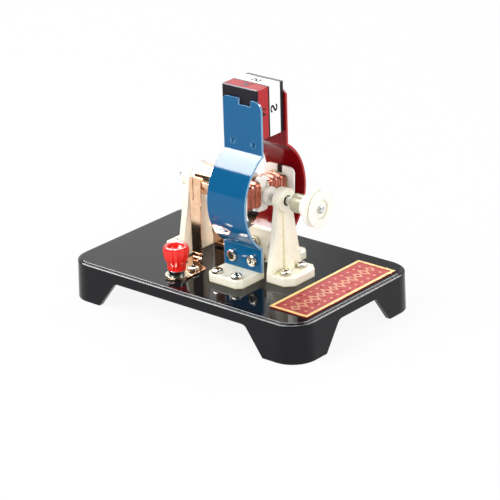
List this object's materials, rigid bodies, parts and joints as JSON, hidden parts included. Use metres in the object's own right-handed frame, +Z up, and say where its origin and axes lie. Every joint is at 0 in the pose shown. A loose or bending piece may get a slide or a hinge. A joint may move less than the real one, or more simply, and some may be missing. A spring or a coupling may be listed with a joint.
{
  "type": "demonstration electric motor",
  "caption": "Classroom demonstration motor: wound two-pole armature turning between bent steel pole strips under a magnet block, with spring brushes, terminals and a pulley.",
  "frame": {"origin": "centre of the base's underside, on the surface it stands on", "axes": "+X along the shaft towards the pulley, +Y towards the red pole strip, +Z up"},
  "size_m": [0.151, 0.096, 0.1185],
  "materials": {
    "base_black": "smooth glossy black moulding",
    "label_red": "red field with a gold border",
    "ivory": "smooth ivory moulding",
    "white_plastic": "smooth white moulding",
    "grey_plastic": "translucent grey moulding",
    "brass": "turned",
    "stud_brass": "turned and plated",
    "screw_steel": "plated and polished",
    "blue_paint": "glossy blue paint",
    "red_paint": "glossy red paint",
    "magnet_black": "satin black",
    "magnet_red": "red paint",
    "magnet_white": "white paint",
    "shaft_steel": "ground steel",
    "core_steel": "black lacquer on stacked sheets",
    "copper": "bright copper",
    "enamel_wire": "enamelled copper wire",
    "collar_nickel": "turned and plated",
    "knob_black": "glossy black moulding",
    "knob_red": "glossy red moulding"
  },
  "bodies": {
    "frame": {"base": "base_black", "label_plate": "label_red", "right_post": "ivory", "left_post": "ivory", "right_bush": "brass", "left_bush": "brass", "front_bracket": "ivory", "rear_bracket": "ivory", "base_screws": "screw_steel", "base_nuts": "screw_steel", "front_pole_strip": "blue_paint", "rear_pole_strip": "red_paint", "strip_screws": "screw_steel", "strip_nuts": "screw_steel", "lug_screws": "screw_steel", "lug_nuts": "screw_steel", "terminal_washers": "screw_steel", "terminal_nuts": "screw_steel", "rear_brush_lug": "copper", "front_brush_lug": "copper", "rear_terminal_stud": "stud_brass", "front_terminal_stud": "stud_brass"},
    "rotor": {"shaft": "shaft_steel", "commutator_hub": "white_plastic", "commutator_segment_a": "copper", "commutator_segment_b": "copper", "armature_core": "core_steel", "armature_hub": "white_plastic", "bobbin_a": "white_plastic", "bobbin_b": "white_plastic", "coil_core_a": "enamel_wire", "coil_core_b": "enamel_wire", "coil_winding_a": "enamel_wire", "coil_winding_b": "enamel_wire", "spacer_collar": "white_plastic", "pulley_hub": "grey_plastic", "pulley": "white_plastic"},
    "magnet": {"magnet_front_plate": "magnet_black", "magnet_north": "magnet_red", "magnet_south": "magnet_white", "magnet_rear_plate": "magnet_black"},
    "front_brush_blade": {"front_brush": "copper"},
    "front_collar": {"front_terminal_collar": "collar_nickel"},
    "front_knob": {"front_terminal_knob": "knob_red"},
    "rear_brush_blade": {"rear_brush": "copper"},
    "rear_collar": {"rear_terminal_collar": "collar_nickel"},
    "rear_knob": {"rear_terminal_knob": "knob_black"}
  },
  "joints": [
    {"name": "rotor_spin", "type": "hinge", "parent": "frame", "child": "rotor", "pos_m": [0, 0, 0.0615], "axis": [1, 0, 0], "continuous": true},
    {"name": "magnet_lift", "type": "slide", "parent": "frame", "child": "magnet", "axis": [0, 0, 1], "range_m": [0, 0.025]},
    {"name": "front_brush_flex", "type": "hinge", "parent": "frame", "child": "front_brush_blade", "pos_m": [-0.0207, -0.00855, 0.02386], "axis": [1, 0, 0], "range_deg": [0, 8], "stiffness_Nm_per_rad": 0.05},
    {"name": "front_collar_lift", "type": "slide", "parent": "frame", "child": "front_collar", "axis": [0, 0, 1], "range_m": [0, 0.0014]},
    {"name": "front_knob_turn", "type": "hinge", "parent": "front_collar", "child": "front_knob", "pos_m": [-0.0134, -0.0326, 0.03], "axis": [0, 0, 1], "range_deg": [0, 720]},
    {"name": "rear_brush_flex", "type": "hinge", "parent": "frame", "child": "rear_brush_blade", "pos_m": [-0.0207, 0.00855, 0.02386], "axis": [-1, 0, 0], "range_deg": [0, 8], "stiffness_Nm_per_rad": 0.05},
    {"name": "rear_collar_lift", "type": "slide", "parent": "frame", "child": "rear_collar", "axis": [0, 0, 1], "range_m": [0, 0.0014]},
    {"name": "rear_knob_turn", "type": "hinge", "parent": "rear_collar", "child": "rear_knob", "pos_m": [-0.0134, 0.0326, 0.03], "axis": [0, 0, 1], "range_deg": [0, 720]}
  ],
  "couplings": [
    {"joint": "front_knob_turn", "follows": "front_collar_lift", "rad_per_m": 8976},
    {"joint": "rear_knob_turn", "follows": "rear_collar_lift", "rad_per_m": 8976}
  ]
}
